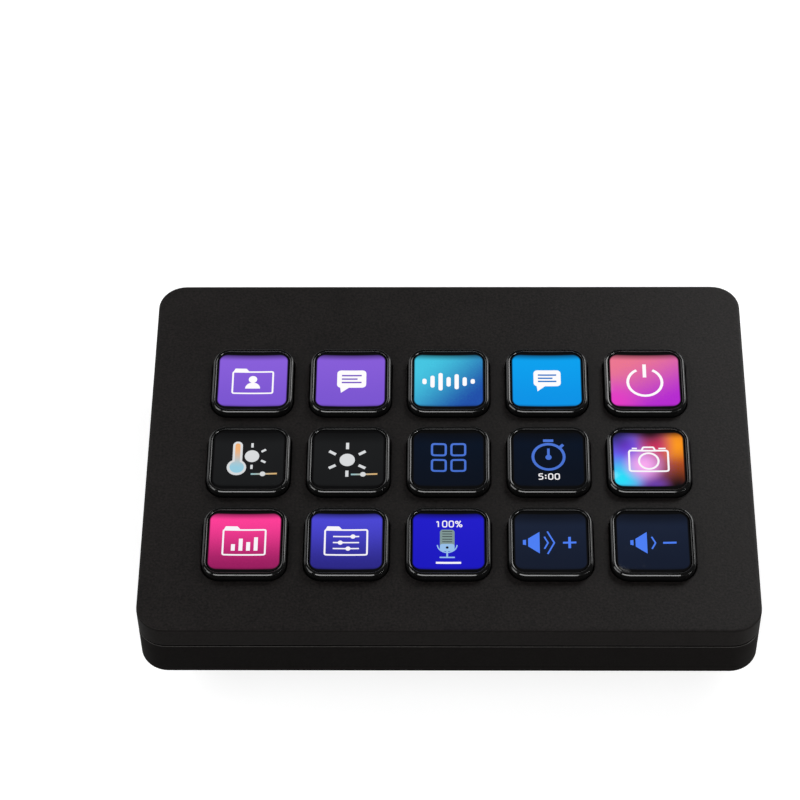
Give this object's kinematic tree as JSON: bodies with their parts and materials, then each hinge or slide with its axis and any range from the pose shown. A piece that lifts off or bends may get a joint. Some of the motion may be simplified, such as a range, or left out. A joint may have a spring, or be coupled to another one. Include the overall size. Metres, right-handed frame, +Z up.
{
  "type": "display-key macro keypad",
  "caption": "Flat desk keypad with a grid of square keys that each show a picture behind a dished clear window, on a two-shell black case with rubber feet and a rear USB-C port.",
  "frame": {"origin": "centre of the footprint, on the surface that the rubber feet stand on", "axes": "+X to the user's right, +Y away from the user, towards the port, +Z up through the keys"},
  "size_m": [0.118, 0.084, 0.025],
  "materials": {
    "case_plastic": "fine-grained black moulded plastic",
    "key_rim": "polished black plastic",
    "key_window": "clear polished plastic over a lit picture",
    "guide_plastic": "moulded plastic",
    "silicone": "translucent grey silicone",
    "circuit_board": "green solder mask",
    "contact_gold": "gold plated",
    "foam": "closed-cell foam",
    "display_glass": "polished",
    "backlight": "diffusing sheets",
    "pressed_steel": "plain pressed",
    "chip_plastic": "moulded",
    "socket_plastic": "moulded",
    "ribbon_cable": "polyimide film",
    "port_steel": "nickel plated",
    "screw_steel": "blackened",
    "foot_rubber": "soft matt"
  },
  "bodies": {
    "base": {"faceplate": "case_plastic", "rear_housing": "case_plastic", "key_guide_frame": "guide_plastic", "key_membrane": "silicone", "contact_board": "circuit_board", "contact_rings": "contact_gold", "display_gasket": "foam", "display_glass": "display_glass", "display_backlight": "backlight", "display_tray": "pressed_steel", "main_board": "circuit_board", "board_chips": "chip_plastic", "flex_sockets": "socket_plastic", "display_flex": "ribbon_cable", "matrix_flex": "ribbon_cable", "usb_c_shell": "port_steel", "usb_c_tongue": "chip_plastic", "case_screws": "screw_steel", "rubber_feet": "foot_rubber"},
    "key_r1c1": {"key_cap_r1c1": "key_rim", "key_lens_r1c1": "key_window"},
    "key_r1c2": {"key_cap_r1c2": "key_rim", "key_lens_r1c2": "key_window"},
    "key_r1c3": {"key_cap_r1c3": "key_rim", "key_lens_r1c3": "key_window"},
    "key_r1c4": {"key_cap_r1c4": "key_rim", "key_lens_r1c4": "key_window"},
    "key_r1c5": {"key_cap_r1c5": "key_rim", "key_lens_r1c5": "key_window"},
    "key_r2c1": {"key_cap_r2c1": "key_rim", "key_lens_r2c1": "key_window"},
    "key_r2c2": {"key_cap_r2c2": "key_rim", "key_lens_r2c2": "key_window"},
    "key_r2c3": {"key_cap_r2c3": "key_rim", "key_lens_r2c3": "key_window"},
    "key_r2c4": {"key_cap_r2c4": "key_rim", "key_lens_r2c4": "key_window"},
    "key_r2c5": {"key_cap_r2c5": "key_rim", "key_lens_r2c5": "key_window"},
    "key_r3c1": {"key_cap_r3c1": "key_rim", "key_lens_r3c1": "key_window"},
    "key_r3c2": {"key_cap_r3c2": "key_rim", "key_lens_r3c2": "key_window"},
    "key_r3c3": {"key_cap_r3c3": "key_rim", "key_lens_r3c3": "key_window"},
    "key_r3c4": {"key_cap_r3c4": "key_rim", "key_lens_r3c4": "key_window"},
    "key_r3c5": {"key_cap_r3c5": "key_rim", "key_lens_r3c5": "key_window"}
  },
  "joints": [
    {"name": "key_r1c1_press", "type": "slide", "parent": "base", "child": "key_r1c1", "axis": [0, 0, -1], "range_m": [0, 0.0015], "stiffness_N_per_m": 400, "springref_m": -0.001, "deforming": ["key_membrane"]},
    {"name": "key_r1c2_press", "type": "slide", "parent": "base", "child": "key_r1c2", "axis": [0, 0, -1], "range_m": [0, 0.0015], "stiffness_N_per_m": 400, "springref_m": -0.001, "deforming": ["key_membrane"]},
    {"name": "key_r1c3_press", "type": "slide", "parent": "base", "child": "key_r1c3", "axis": [0, 0, -1], "range_m": [0, 0.0015], "stiffness_N_per_m": 400, "springref_m": -0.001, "deforming": ["key_membrane"]},
    {"name": "key_r1c4_press", "type": "slide", "parent": "base", "child": "key_r1c4", "axis": [0, 0, -1], "range_m": [0, 0.0015], "stiffness_N_per_m": 400, "springref_m": -0.001, "deforming": ["key_membrane"]},
    {"name": "key_r1c5_press", "type": "slide", "parent": "base", "child": "key_r1c5", "axis": [0, 0, -1], "range_m": [0, 0.0015], "stiffness_N_per_m": 400, "springref_m": -0.001, "deforming": ["key_membrane"]},
    {"name": "key_r2c1_press", "type": "slide", "parent": "base", "child": "key_r2c1", "axis": [0, 0, -1], "range_m": [0, 0.0015], "stiffness_N_per_m": 400, "springref_m": -0.001, "deforming": ["key_membrane"]},
    {"name": "key_r2c2_press", "type": "slide", "parent": "base", "child": "key_r2c2", "axis": [0, 0, -1], "range_m": [0, 0.0015], "stiffness_N_per_m": 400, "springref_m": -0.001, "deforming": ["key_membrane"]},
    {"name": "key_r2c3_press", "type": "slide", "parent": "base", "child": "key_r2c3", "axis": [0, 0, -1], "range_m": [0, 0.0015], "stiffness_N_per_m": 400, "springref_m": -0.001, "deforming": ["key_membrane"]},
    {"name": "key_r2c4_press", "type": "slide", "parent": "base", "child": "key_r2c4", "axis": [0, 0, -1], "range_m": [0, 0.0015], "stiffness_N_per_m": 400, "springref_m": -0.001, "deforming": ["key_membrane"]},
    {"name": "key_r2c5_press", "type": "slide", "parent": "base", "child": "key_r2c5", "axis": [0, 0, -1], "range_m": [0, 0.0015], "stiffness_N_per_m": 400, "springref_m": -0.001, "deforming": ["key_membrane"]},
    {"name": "key_r3c1_press", "type": "slide", "parent": "base", "child": "key_r3c1", "axis": [0, 0, -1], "range_m": [0, 0.0015], "stiffness_N_per_m": 400, "springref_m": -0.001, "deforming": ["key_membrane"]},
    {"name": "key_r3c2_press", "type": "slide", "parent": "base", "child": "key_r3c2", "axis": [0, 0, -1], "range_m": [0, 0.0015], "stiffness_N_per_m": 400, "springref_m": -0.001, "deforming": ["key_membrane"]},
    {"name": "key_r3c3_press", "type": "slide", "parent": "base", "child": "key_r3c3", "axis": [0, 0, -1], "range_m": [0, 0.0015], "stiffness_N_per_m": 400, "springref_m": -0.001, "deforming": ["key_membrane"]},
    {"name": "key_r3c4_press", "type": "slide", "parent": "base", "child": "key_r3c4", "axis": [0, 0, -1], "range_m": [0, 0.0015], "stiffness_N_per_m": 400, "springref_m": -0.001, "deforming": ["key_membrane"]},
    {"name": "key_r3c5_press", "type": "slide", "parent": "base", "child": "key_r3c5", "axis": [0, 0, -1], "range_m": [0, 0.0015], "stiffness_N_per_m": 400, "springref_m": -0.001, "deforming": ["key_membrane"]}
  ]
}
